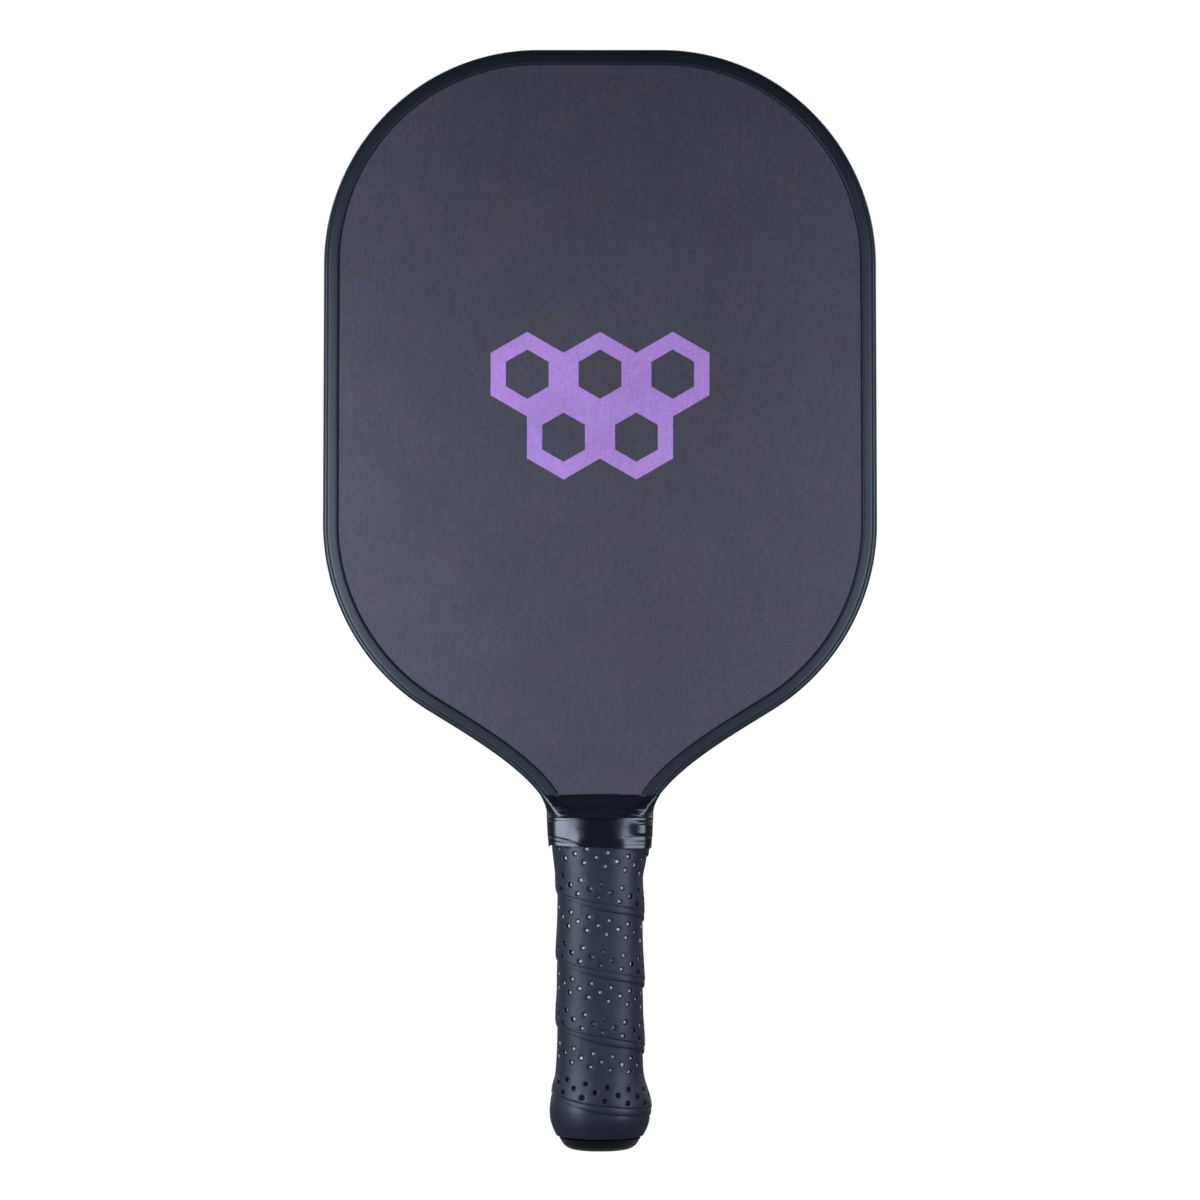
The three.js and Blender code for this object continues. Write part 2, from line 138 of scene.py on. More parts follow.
# ------------------------------------------------------------------ blade outline
def blade_outline():
    """Points round the outside of the guard, left tail to right tail, with normals into the blade."""
    half = []
    top_x = TOP_HALF_WIDTH - TOP_RADIUS
    half += [(x, LENGTH) for x in np.linspace(0, top_x, 12)[:-1]]
    for a in np.linspace(math.pi / 2, 0, 70)[:-1]:
        half.append((top_x + TOP_RADIUS * math.cos(a), LENGTH - TOP_RADIUS + TOP_RADIUS * math.sin(a)))
    side = np.linspace(0, 1, 40)[:-1]
    half += [
        (TOP_HALF_WIDTH + (LOW_HALF_WIDTH - TOP_HALF_WIDTH) * t,
         LENGTH - TOP_RADIUS + (LOW_HEIGHT - LENGTH + TOP_RADIUS) * t) for t in side
    ]
    low_x = LOW_HALF_WIDTH - LOW_RADIUS
    for a in np.linspace(0, -LOW_SWEEP, 48)[:-1]:
        half.append((low_x + LOW_RADIUS * math.cos(a), LOW_HEIGHT + LOW_RADIUS * math.sin(a)))
    width, height, flare, upper, lower = THROAT
    start = np.array((
        low_x + LOW_RADIUS * math.cos(LOW_SWEEP),
        LOW_HEIGHT - LOW_RADIUS * math.sin(LOW_SWEEP),
    ))
    p1 = start - upper * np.array((math.sin(LOW_SWEEP), math.cos(LOW_SWEEP)))
    end = np.array((width, height))
    p2 = end + lower * np.array((flare, 1.0))
    for t in np.linspace(0, 1, 40):
        s = 1 - t
        half.append(tuple(s**3 * start + 3 * s * s * t * p1 + 3 * s * t * t * p2 + t**3 * end))
    half.append((width - (height - GUARD_END) * flare, GUARD_END))
    right = np.array(half)
    left = right[1:][::-1] * (-1, 1)
    line = np.vstack([left, right])
    along = np.gradient(line, axis=0)
    along /= np.linalg.norm(along, axis=1)[:, None]
    return line, np.stack([along[:, 1], -along[:, 0]], axis=1)


OUTLINE, INWARD = blade_outline()

# ------------------------------------------------------------------ handle rings
RING = 240  # points round a ring


def ring_through(quarter, cut):
    """A closed ring through one quarter's corners, mirrored round and softened, its points evenly spaced.

    The quarter runs from the right edge (+X) to the front (-Y). Cut is the share taken off each side's ends.
    """
    right = np.array(quarter)
    front = np.vstack([right, right[::-1] * (-1, 1)])
    corners = np.vstack([front, front[::-1] * (1, -1)])
    after = np.roll(corners, -1, axis=0)
    line = np.stack([corners + (after - corners) * cut, corners + (after - corners) * (1 - cut)], axis=1)
    line = line.reshape(-1, 2)
    for _ in range(3):
        after = np.roll(line, -1, axis=0)
        line = np.stack([line * 0.75 + after * 0.25, line * 0.25 + after * 0.75], axis=1).reshape(-1, 2)
    # Start where the line crosses y = 0 on the right.
    start = next(i for i in range(len(line)) if line[i - 1][1] > 0 >= line[i][1] and line[i][0] > 0)
    line = np.roll(line, -start, axis=0)
    before = line[-1]
    share = before[1] / (before[1] - line[0][1])
    first = before + (line[0] - before) * share
    line = np.vstack([first, line, first])
    run = np.concatenate([[0], np.cumsum(np.linalg.norm(np.diff(line, axis=0), axis=1))])
    at = np.linspace(0, run[-1], RING + 1)
    return np.stack([np.interp(at, run, line[:, k]) for k in (0, 1)], axis=1)


def ring_of(half_width, half_depth, bevel):
    """The handle's octagon, its corners rounded."""
    b = max(bevel, 0.2)
    return ring_through([(half_width, b - half_depth), (half_width - b, -half_depth)], 0.24)


def tape_ring(half_width, side, shoulder_x, shoulder_y, inner_x, inner_y, flat, depth, cut):
    """The tape's ring: from the narrow side, over the guard's corner, to the flat front."""
    corners = [(half_width, -side), (shoulder_x, -shoulder_y), (inner_x, -inner_y), (flat, -depth)]
    return ring_through(corners, cut)


class Surface:
    """A stack of handle rings that gives a point and its normal at any height and share of the way round."""

    def __init__(self, stations, section=ring_of, step=0.5, soften=2.0):
        stations = np.asarray(stations, float)
        self.low, self.high = stations[0, 0], stations[-1, 0]
        self.heights = np.arange(self.low, self.high + step, step)
        fine = np.arange(self.low - 6, self.high + 6, 0.1)
        columns = []
        for k in range(1, stations.shape[1]):
            value = np.interp(fine, stations[:, 0], stations[:, k])
            if soften:
                pad = round(30 * soften)
                kernel = np.exp(-0.5 * (np.arange(-pad, pad + 1) * 0.1 / soften) ** 2)
                value = np.convolve(np.pad(value, pad, mode="edge"), kernel / kernel.sum(), mode="valid")
            columns.append(np.interp(self.heights, fine, value))
        self.rings = np.array([section(*row) for row in np.stack(columns, axis=1)])

    def flat(self, f, z):
        """The point on the surface, before it is grown, as x and y."""
        row = (min(max(z, self.low), self.high) - self.heights[0]) / (self.heights[1] - self.heights[0])
        col = (f % 1.0) * RING
        r, c = min(int(row), len(self.heights) - 2), int(col)
        u, v = row - r, col - c
        a = self.rings[r, c] * (1 - v) + self.rings[r, c + 1] * v
        b = self.rings[r + 1, c] * (1 - v) + self.rings[r + 1, c + 1] * v
        return a * (1 - u) + b * u

    def point(self, f, z, out=0.0):
        """The point a share f of the way round at height z, moved out along the surface's normal."""
        here = self.flat(f, z)
        ahead, behind = self.flat(f + 0.004, z), self.flat(f - 0.004, z)
        along = (ahead - behind) / max(np.linalg.norm(ahead - behind), 1e-9)
        normal = np.array((-along[1], along[0]))
        if normal @ here < 0:
            normal = -normal
        slope = (self.flat(f, z + 0.5) - self.flat(f, z - 0.5)) @ normal
        tilt = 1 / math.hypot(1, slope)
        x, y = here + normal * out * tilt
        return x, y, z - slope * tilt * out


BED = Surface(GRIP_BED)


# ------------------------------------------------------------------ node materials
class Paint:
    """A Principled material, with short ways to add nodes to it. Places are object coordinates in metres."""

    def __init__(self, name, **inputs):
        self.material = bpy.data.materials.new(name)
        self.material.use_nodes = True
        self.tree = self.material.node_tree
        self.shader = self.tree.nodes["Principled BSDF"]
        self.where = self.tree.nodes.new("ShaderNodeTexCoord").outputs["Object"]
        for key, value in inputs.items():
            self.shader.inputs[key.replace("_", " ")].default_value = value

    def put(self, socket, source):
        self.tree.links.new(source, self.shader.inputs[socket])

    def _feed(self, socket, value):
        if isinstance(value, bpy.types.NodeSocket):
            self.tree.links.new(value, socket)
        else:
            socket.default_value = value

    def stretch(self, x, y, z, turn=(0, 0, 0)):
        node = self.tree.nodes.new("ShaderNodeMapping")
        node.inputs["Scale"].default_value = (x, y, z)
        node.inputs["Rotation"].default_value = turn
        self.tree.links.new(self.where, node.inputs["Vector"])
        return node.outputs["Vector"]

    def noise(self, scale, detail=3.0, rough=0.55, at=None, distortion=0.0):
        node = self.tree.nodes.new("ShaderNodeTexNoise")
        node.inputs["Scale"].default_value = scale
        node.inputs["Detail"].default_value = detail
        node.inputs["Roughness"].default_value = rough
        node.inputs["Distortion"].default_value = distortion
        self.tree.links.new(at or self.where, node.inputs["Vector"])
        return node.outputs["Fac"]

    def cells(self, scale):
        node = self.tree.nodes.new("ShaderNodeTexVoronoi")
        node.inputs["Scale"].default_value = scale
        self.tree.links.new(self.where, node.inputs["Vector"])
        return node.outputs["Distance"]

    def ramp(self, source, stops):
        node = self.tree.nodes.new("ShaderNodeValToRGB")
        band = node.color_ramp
        while len(band.elements) < len(stops):
            band.elements.new(0.5)
        for element, (place, value) in zip(band.elements, stops):
            element.position = place
            element.color = (*value, 1) if isinstance(value, tuple) else (value, value, value, 1)
        self.tree.links.new(source, node.inputs["Fac"])
        return node.outputs["Color"]

    def math(self, operation, a, b=0.0):
        node = self.tree.nodes.new("ShaderNodeMath")
        node.operation = operation
        self._feed(node.inputs[0], a)
        self._feed(node.inputs[1], b)
        return node.outputs[0]

    def mix(self, share, a, b, kind="MIX"):
        node = self.tree.nodes.new("ShaderNodeMix")
        node.data_type = "RGBA"
        node.blend_type = kind
        self._feed(node.inputs[0], share)
        for socket, value in ((node.inputs[6], a), (node.inputs[7], b)):
            self._feed(socket, (*value, 1) if isinstance(value, tuple) else value)
        return node.outputs[2]

    def span(self, source, low, high):
        node = self.tree.nodes.new("ShaderNodeMapRange")
        self.tree.links.new(source, node.inputs["Value"])
        node.inputs["To Min"].default_value = low
        node.inputs["To Max"].default_value = high
        return node.outputs["Result"]

    def bump(self, height, strength, distance, under=None):
        node = self.tree.nodes.new("ShaderNodeBump")
        node.inputs["Strength"].default_value = strength
        node.inputs["Distance"].default_value = distance
        self.tree.links.new(height, node.inputs["Height"])
        if under is not None:
            self.tree.links.new(under, node.inputs["Normal"])
        return node.outputs["Normal"]


def weave_paint(name, dark, light, warm, cool, roughness):
    """Resin over a fine linen-like weave of uneven upright and level threads, with slow tints across it."""
    p = Paint(name, Roughness=roughness, Specular_IOR_Level=0.65, Sheen_Weight=0.1, Sheen_Roughness=0.45)
    upright = p.noise(1.0, 2.0, 0.55, p.stretch(2300, 400, 380))
    level = p.noise(1.0, 2.0, 0.55, p.stretch(420, 400, 2100))
    slubs = p.noise(1.0, 2.0, 0.5, p.stretch(900, 300, 70))
    threads = p.math("ADD", p.math("MULTIPLY", upright, 0.52), p.math("MULTIPLY", level, 0.48))
    threads = p.math("ADD", threads, p.math("MULTIPLY", p.math("SUBTRACT", slubs, 0.5), 0.22))
    colour = p.mix(p.ramp(threads, [(0.3, 0.0), (0.7, 1.0)]), dark, light)
    tint = p.noise(60, 5.0, 0.6)
    tint = p.ramp(tint, [(0.38, 0.0), (0.62, 1.0)])
    colour = p.mix(tint, p.mix(0.3, colour, warm), p.mix(0.3, colour, cool))
    cloud = p.noise(34, 4.0, 0.6)
    colour = p.mix(1.0, colour, p.ramp(cloud, [(0.25, 0.86), (0.75, 1.12)]), "MULTIPLY")
    p.put("Base Color", colour)
    p.put("Roughness", p.span(threads, roughness + 0.12, roughness - 0.1))
    p.put("Normal", p.bump(threads, 0.35, 0.00012))
    return p.material


FACE = weave_paint("woven_face", (0.020, 0.0165, 0.022), (0.082, 0.069, 0.086), (0.071, 0.040, 0.044),
                   (0.032, 0.044, 0.069), 0.46)
PRINT = weave_paint("printed_weave", (0.33, 0.15, 0.38), (0.55, 0.29, 0.66), (0.48, 0.22, 0.52),
                    (0.39, 0.22, 0.58), 0.46)


def guard_paint():
    """Satin extruded plastic: fine drawn texture, faint scuffs."""
    p = Paint("guard_plastic", Specular_IOR_Level=0.5, Coat_Weight=0.08, Coat_Roughness=0.3)
    grain = p.noise(2600, 3.0, 0.6)
    patch = p.noise(45, 4.0, 0.6)
    scuff = p.noise(1.0, 2.0, 0.6, p.stretch(180, 180, 900, (0.4, 0.2, 0.3)))
    colour = p.mix(p.ramp(patch, [(0.3, 0.0), (0.7, 1.0)]), (0.005, 0.0085, 0.0125), (0.008, 0.0125, 0.0175))
    colour = p.mix(p.ramp(scuff, [(0.66, 0.0), (0.74, 0.3)]), colour, (0.03, 0.037, 0.045))
    p.put("Base Color", colour)
    p.put("Roughness", p.span(p.mix(0.5, grain, patch), 0.32, 0.5))
    p.put("Normal", p.bump(grain, 0.12, 0.00005, p.bump(patch, 0.15, 0.0006)))
    return p.material


def shadow_line_paint():
    """The thin dark bead where the guard's lip meets the face: painted shadow for the gap under the lip's
    edge.
    """
    p = Paint("guard_shadow_line", Specular_IOR_Level=0.2)
    grain = p.noise(1800, 2.0)
    p.put("Base Color", p.mix(grain, (0.003, 0.004, 0.006), (0.009, 0.011, 0.015)))
    p.put("Roughness", p.span(grain, 0.6, 0.85))
    p.put("Normal", p.bump(grain, 0.2, 0.00005))
    return p.material


def grip_paint():
    """Semi-matt synthetic leather with a fine pore grain, light dust and stretched wrinkles."""
    p = Paint("grip_leather", Specular_IOR_Level=0.5, Sheen_Weight=0.05, Sheen_Roughness=0.5)
    pores = p.cells(1500)
    crease = p.noise(700, 4.0, 0.65)
    patch = p.noise(60, 4.0, 0.6)
    dust = p.noise(1300, 2.0, 0.8)
    tone = p.ramp(patch, [(0.3, 0.0), (0.7, 1.0)])
    colour = p.mix(tone, (0.0065, 0.0098, 0.0172), (0.0118, 0.0155, 0.0255))
    colour = p.mix(p.ramp(dust, [(0.70, 0.0), (0.78, 0.4)]), colour, (0.06, 0.066, 0.078))
    p.put("Base Color", colour)
    held = p.tree.nodes.new("ShaderNodeSeparateXYZ")
    p.tree.links.new(p.where, held.inputs[0])
    # Along the handle, the middle of the grip is a little more worn and matt than its ends.
    worn = p.ramp(p.math("ADD", p.math("MULTIPLY", held.outputs["Z"], 8), 0.5),
                  [(0.0, 0.0), (0.17, 0.0), (0.3, 1.0), (0.66, 0.75), (0.9, 0.0)])
    uneven = p.span(p.mix(0.5, patch, crease), 0.34, 0.6)
    p.put("Roughness", p.math("ADD", uneven, p.math("MULTIPLY", worn, 0.08)))
    skin = p.bump(pores, 0.16, 0.00006)
    wrinkle = p.noise(1.0, 3.0, 0.6, p.stretch(150, 150, 1000, (0, -0.2, 0)), 0.6)
    skin = p.bump(p.ramp(wrinkle, [(0.3, 0.0), (0.46, 1.0)]), 0.14, 0.00012, skin)
    p.put("Normal", p.bump(crease, 0.2, 0.00012, skin))
    return p.material


def tape_paint():
    """Stretched vinyl tape: glossy, with fine drawn lines along the winding and small dimples."""
    p = Paint("tape_vinyl", Specular_IOR_Level=0.55, Coat_Weight=0.35, Coat_Roughness=0.17)
    drawn = p.noise(1.0, 3.0, 0.6, p.stretch(60, 60, 1500))
    dimple = p.noise(420, 3.0, 0.5)
    patch = p.noise(80, 3.0, 0.5)
    p.put("Base Color", p.mix(patch, (0.0005, 0.0015, 0.0035), (0.002, 0.004, 0.0075)))
    p.put("Roughness", p.span(patch, 0.17, 0.38))
    p.put("Normal", p.bump(drawn, 0.3, 0.0002, p.bump(dimple, 0.16, 0.00018)))
    return p.material


def cap_paint():
    """Glossy moulded plastic with faint swirl and handling marks."""
    p = Paint("cap_plastic", Specular_IOR_Level=0.5, Coat_Weight=0.3, Coat_Roughness=0.12)
    swirl = p.noise(55, 4.0, 0.6, distortion=0.8)
    marks = p.noise(1.0, 2.0, 0.6, p.stretch(900, 140, 140, (0.3, 0.5, 0.2)))
    colour = p.mix(swirl, (0.0004, 0.0006, 0.001), (0.0015, 0.002, 0.003))
    p.put("Base Color", p.mix(p.ramp(marks, [(0.68, 0.0), (0.76, 0.3)]), colour, (0.05, 0.055, 0.06)))
    p.put("Roughness", p.span(p.mix(0.5, swirl, marks), 0.06, 0.22))
    p.put("Normal", p.bump(swirl, 0.1, 0.0003))
    return p.material


def plain_paint(name, dark, light, scale, roughness, bump, **inputs):
    """A two-tone material with grain at a scale, for the pieces inside and the grip's holes."""
    p = Paint(name, **inputs)
    grain = p.noise(scale, 4.0, 0.6)
    pit = p.cells(scale * 1.7)
    p.put("Base Color", p.mix(p.ramp(grain, [(0.3, 0.0), (0.7, 1.0)]), dark, light))
    p.put("Roughness", p.span(grain, roughness + 0.08, roughness - 0.1))
    p.put("Normal", p.bump(pit, bump, 0.0002, p.bump(grain, bump, 0.0002)))
    return p.material


def fleece_paint():
    """Thin pressed fleece: criss-crossing fibres."""
    p = Paint("scrim_fleece", Sheen_Weight=0.3, Sheen_Roughness=0.6)
    one = p.noise(1.0, 3.0, 0.6, p.stretch(1400, 300, 160, (0, 0.5, 0)))
    two = p.noise(1.0, 3.0, 0.6, p.stretch(160, 300, 1400, (0, 0.3, 0)))
    fibres = p.math("MAXIMUM", one, two)
    p.put("Base Color", p.mix(fibres, (0.55, 0.54, 0.50), (0.86, 0.85, 0.80)))
    p.put("Roughness", p.span(fibres, 0.85, 0.98))
    p.put("Normal", p.bump(fibres, 0.5, 0.0002))
    return p.material


FINISH = {
    "guard_plastic": guard_paint(),
    "grip_skin": grip_paint(),
    "tape_vinyl": tape_paint(),
    "cap_plastic": cap_paint(),
    "face_weave": FACE,
    "emblem_print": PRINT,
    "scrim_fleece": fleece_paint(),
    "core_polymer": plain_paint("core_polymer", (0.60, 0.61, 0.60), (0.78, 0.78, 0.76), 160, 0.5, 0.15,
                                Subsurface_Weight=0.2, Subsurface_Scale=0.002),
    "edge_adhesive": plain_paint("edge_adhesive", (0.55, 0.52, 0.43), (0.68, 0.65, 0.56), 500, 0.75, 0.25),
    "pallet_foam": plain_paint("pallet_foam", (0.42, 0.34, 0.22), (0.56, 0.47, 0.33), 650, 0.85, 0.45),
    "staple_steel": plain_paint("staple_steel", (0.42, 0.43, 0.45), (0.62, 0.63, 0.65), 900, 0.35, 0.12,
                                Metallic=1.0),
    "grip_foam": plain_paint("grip_foam", (0.035, 0.038, 0.045), (0.06, 0.064, 0.072), 1100, 0.9, 0.5),
}
# Painted shadow: the dark line along the gap under the guard's lip.
SHADOW_LINE = shadow_line_paint()
# The holes' walls are painted near black, far darker than the skin: painted shade in the recess.
SHADED_HOLE_WALL = plain_paint("hole_wall_painted_shade", (0.0015, 0.002, 0.003), (0.004, 0.005, 0.007), 1300, 0.85, 0.3)
HOLE_FLOOR = plain_paint("hole_floor", (0.26, 0.27, 0.28), (0.56, 0.57, 0.58), 1300, 0.8, 0.3)

# The record's nodes keep their CAD shapes and take these finishes; some are replaced further down.
for part in frame["record"]["subparts"]:
    node = bpy.data.objects[part["node"]]
    node.data.materials.clear()
    node.data.materials.append(FINISH[part["material_slot"]])


def piece(obj, slot, *nodes):
    """Fixes a piece to the paddle's one body in place of some CAD nodes, which it hides. The slot argument is
    not used.
    """
    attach(obj, "root")
    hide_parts(*nodes)
    return obj


# ------------------------------------------------------------------ edge guard
LIP_START = 2.1  # inset of the lip, just past the drawn groove
LIP_TURN = 4.7  # inset past which the lip's edge wanders a little
LIP_END = 5.44  # inset of the lip's edge, where the painted shadow line begins
GUARD_REACH = 5.98  # inset of the painted shadow line's last point
GUARD_FACE = SHEET_FACE + 0.02  # the guard's inner side, just off the face sheet
LIP_ROOM = 1.8  # least reach left to the guard beside the pallets
SQUEEZE_TOP = PALLET_TIP + 3  # up to here the pallets' ramps squeeze the guard


def guard_section():
    """The guard's closed section, as (inset, height off the middle plane), and which sides carry the painted
    shadow line.
    """
    outer = [
        (0.0, 0.0), (0.02, 2.2), (0.08, 3.8), (0.2, 5.0), (0.36, 5.9), (0.54, 6.42), (0.72, 6.72),
        (0.95, 6.87), (1.2, 6.99), (1.42, 7.08), (1.54, 7.07), (1.62, 6.95), (1.7, 6.82), (1.9, 6.82),
        (1.97, 7.2), (2.06, 7.42), (2.2, 7.5), (2.6, 7.56), (3.2, 7.63), (3.8, 7.7), (4.4, 7.77), (4.9, 7.82),
        (5.18, 7.83), (5.32, 7.77), (5.41, 7.62), (LIP_END, 7.42), (5.45, 7.22),
    ]
    # The thin step at the lip's edge, painted dark as the shadow in the gap under it.
    shadow_line = [(5.58, 7.16), (5.8, 7.14), (5.95, 7.1), (GUARD_REACH, GUARD_FACE)]
    inner = [(5.0, GUARD_FACE), (3.2, GUARD_FACE), (1.56, GUARD_FACE), (1.5, 6.8), (1.5, 2.5)]
    half = outer[1:] + shadow_line + inner
    section = [outer[0]] + half + [(d, -y) for d, y in reversed(half)]
    shadow_line_sides = set()
    for i, a in enumerate(section):
        b = section[(i + 1) % len(section)]
        if min(a[0], b[0]) >= LIP_END and min(abs(a[1]), abs(b[1])) >= SHEET_FACE:
            shadow_line_sides.add(i)
    return section, shadow_line_sides


def build_guard():
    """The extruded channel: rounded bumper, drawn groove, satin lips and a thin dark step along the lips'
    edge, painted dark as the shadow in the gap under them.
    """
    section, shadow_line_sides = guard_section()
    count = len(section)
    points, kinds = [], []
    for (x, z), (nx, nz) in zip(OUTLINE, INWARD):
        wander = 0.09 * fuzz(x, 0, z, 38, 1)
        for d, y in section:
            if d > LIP_START and z < SQUEEZE_TOP:
                room = abs(x) - PALLET_HALF_WIDTH - 0.2
                free = max(room, LIP_ROOM) / GUARD_REACH
                ease = smoothstep((SQUEEZE_TOP - z) / 3)
                d = LIP_START + (d - LIP_START) * (1 + (min(free, 1) - 1) * ease)
            if d > LIP_TURN:
                d += wander
            points.append((x + nx * d, y, z + nz * d))
    faces = tube_faces(len(OUTLINE), count)
    for _ in range(len(OUTLINE) - 1):
        kinds += [1 if i in shadow_line_sides else 0 for i in range(count)]
    last = (len(OUTLINE) - 1) * count
    faces.append(tuple(range(count)))
    faces.append(tuple(last + i for i in reversed(range(count))))
    kinds += [0, 0]
    return make("edge_guard_channel", points, faces, [FINISH["guard_plastic"], SHADOW_LINE], 50, kinds)


piece(build_guard(), "guard_plastic", "edge_guard")

# ------------------------------------------------------------------ grip strip
TURN = 104.5  # length round the grip's outside
TILT = math.radians(12.4)
HOLES_ROUND = 12.91  # per turn, in each row
STEPS_PER_HOLE = 10
STRIP_STEP = 1 / (HOLES_ROUND * STEPS_PER_HOLE)  # in turns
HOLE_CELL = 1.25  # from a row's line to the lines above and below it
HOLE_RADIUS, HOLE_DEPTH = 1.0, 1.15
# Rows of holes, by height above the ridge.
HOLE_ROWS = {1.7: "level", 4.2: "staggered", 6.7: "level", 13.2: "level", 15.7: "staggered", 18.2: "level"}
# The square rim round a hole, as steps along the strip and lines across it.
HOLE_RIM = [(2, 0), (2, 1), (1, 1), (0, 1), (-1, 1), (-2, 1),
            (-2, 0), (-2, -1), (-1, -1), (0, -1), (1, -1), (2, -1)]
ROW_HEIGHTS = (0.45, 1.7, 2.95, 4.2, 5.45, 6.7, 7.95, 9.3, 10.6, 11.95, 13.2, 14.45, 15.7, 16.95, 18.2, 19.45)
FULL_PITCH = 21.5  # turns that lie closer than this have no room for the upper rows of holes
LOWER_ROWS = 8  # above the ridge; what lies higher is drawn together where turns are close
BACK_LINES = (20.0, 16.5, 13.0, 10.5, 8.0, 5.5, 3.0, -0.5)  # across the strip's back, above the ridge
BACK_OUT = 0.32  # how far the strip's back stands off the bed
STRIP_CLEAR, BACK_CLEAR, FLOOR_CLEAR = 0.25, 0.12, 0.2  # least room between the strip and the pallets
STRIP_START, STRIP_END = -0.46, 4.6  # in turns from the right edge (+X) round the front
SKIN, SHADED_WALL, FLOOR = 0, 1, 2  # the strip's materials, as their places in its list
# The ridge that runs near each turn's lower edge: height against turns. It climbs more slowly over the front.
RIDGE = np.array([
    (-0.46, 7.0), (-0.2, 12.2), (-0.05, 14.6), (0, 15.2), (0.12, 15.9), (0.25, 17.3), (0.38, 19.6),
    (0.5, 22.2), (0.75, 30.0), (1, 37.8), (1.5, 46.9), (2, 61.8), (2.5, 70.9), (3, 86.2), (3.5, 95.3),
    (4, 109.7), (4.5, 119.0), (5, 133.5), (6, 157.0),
])
# How far the lower edge lies below the ridge, round one turn.
FLANGE = np.array([
    (0, 2.4), (0.1, 2.5), (0.22, 2.8), (0.3, 2.2), (0.4, 1.2), (0.5, 0.8), (0.7, 1.3), (1, 2.4),
])


def eased(table, place, width):
    """A table's value at a place, averaged over a width to either side."""
    return float(np.mean(np.interp(place + np.linspace(-width, width, 7), table[:, 0], table[:, 1])))


def ridge_height(u):
    """The ridge's height, a number of turns along it."""
    return eased(RIDGE, u, 0.06)


def flange_width(u):
    """How far the lower edge lies below the ridge there."""
    return eased(FLANGE, u % 1.0, 0.04)


def strip_pitch(u):
    """The way from a turn's ridge to the next turn's, across the strip."""
    return (ridge_height(u + 1) - ridge_height(u)) * math.cos(TILT)


def round_grip(turns):
    """Where noise is read, a number of turns round the grip."""
    return NOISE_RADIUS * math.cos(2 * math.pi * turns), NOISE_RADIUS * math.sin(2 * math.pi * turns)


def clear_of_pallets(point, room):
    """The point, moved out where needed so that it stands clear of the pallets' octagon."""
    x, y, z = point
    if z < CAP_TOP:
        return point
    diagonal = math.sqrt(0.5)
    past_bevel = abs(x) + abs(y) - PALLET_HALF_WIDTH - PALLET_HALF_DEPTH + PALLET_BEVEL
    sides = [
        (abs(x) - PALLET_HALF_WIDTH, 1, 0),
        (abs(y) - PALLET_HALF_DEPTH, 0, 1),
        (past_bevel * diagonal, diagonal, diagonal),
    ]
    off, nx, ny = max(sides)
    short = max(room - off, 0)
    return x + math.copysign(short * nx, x), y + math.copysign(short * ny, y), z


def strip_point(u, t, out):
    """A point of the strip: u turns along its ridge, t up across it."""
    f = u - t * math.sin(TILT) / TURN
    z = ridge_height(u) + t * math.cos(TILT)
    return BED.point(f, min(max(z, GRIP_FOOT), GRIP_TOP - 0.1), out)


def strip_out(u, t, pitch):
    """How far the strip's outer side stands off the bed: a raised lip, a step at the ridge, a long fall."""
    flange = flange_width(u)
    low, lip, crest = 1.14, 1.70, 1.96
    if t < -0.05:
        level = lip + 0.10 * math.sin(math.pi * min(1, -t / flange))
    else:
        level = crest + (low + 0.14 - crest) * smoothstep(t / (0.62 * pitch))
        level -= 0.14 * smoothstep((t - 0.6 * pitch) / (0.4 * pitch))
    level -= 0.14 * math.exp(-(((t + 0.1) / 0.2) ** 2))
    x, y = round_grip(u)
    z = ridge_height(u) + t
    uneven = 0.2 * fuzz(x, y, z, 9, 2) + 0.07 * fuzz(x, y, z, 4.2, 3)
    # Where the finishing tape is wound over it, the strip is squeezed.
    return (level + uneven) * (1 - 0.36 * smoothstep((z - 110.0) / 3))


def strip_lines():
    """The lines that run along the strip: what each is placed by, its place, and a mark."""
    lines = [("flange", -0.8, "under"), ("flange", -1.0, "edge")]
    lines += [("flange", share, "") for share in (-0.94, -0.72, -0.45, -0.2)]
    lines += [("ridge", -0.12, ""), ("ridge", 0.1, "")]
    lines += [("ridge", t, HOLE_ROWS.get(t, "")) for t in ROW_HEIGHTS]
    return lines + [("tuck", 0.0, ""), ("tuck", 0.5, ""), ("tuck", 1.0, "")]


def line_height(base, share, pitch, flange):
    """How far above the ridge a line runs: on the flange, at a height, or tucked under the next turn."""
    if base == "flange":
        return min(share * flange, share * 0.3 - 0.16)
    if base == "tuck":
        return max(pitch - flange - 0.3, 9) + share * 2.4
    if pitch > FULL_PITCH or share < LOWER_ROWS:
        return share
    return LOWER_ROWS + (share - LOWER_ROWS) * max(pitch - 10, 3) / 11.5


def line_level(base, share, kind, level):
    """How far a line stands off the bed, from the level of the strip's outer side there."""
    if base == "tuck":
        level = min(level, 1.16) - 0.3 * share
    if kind == "under":
        level -= 0.62
    elif kind == "edge":
        level -= 0.16
    return level


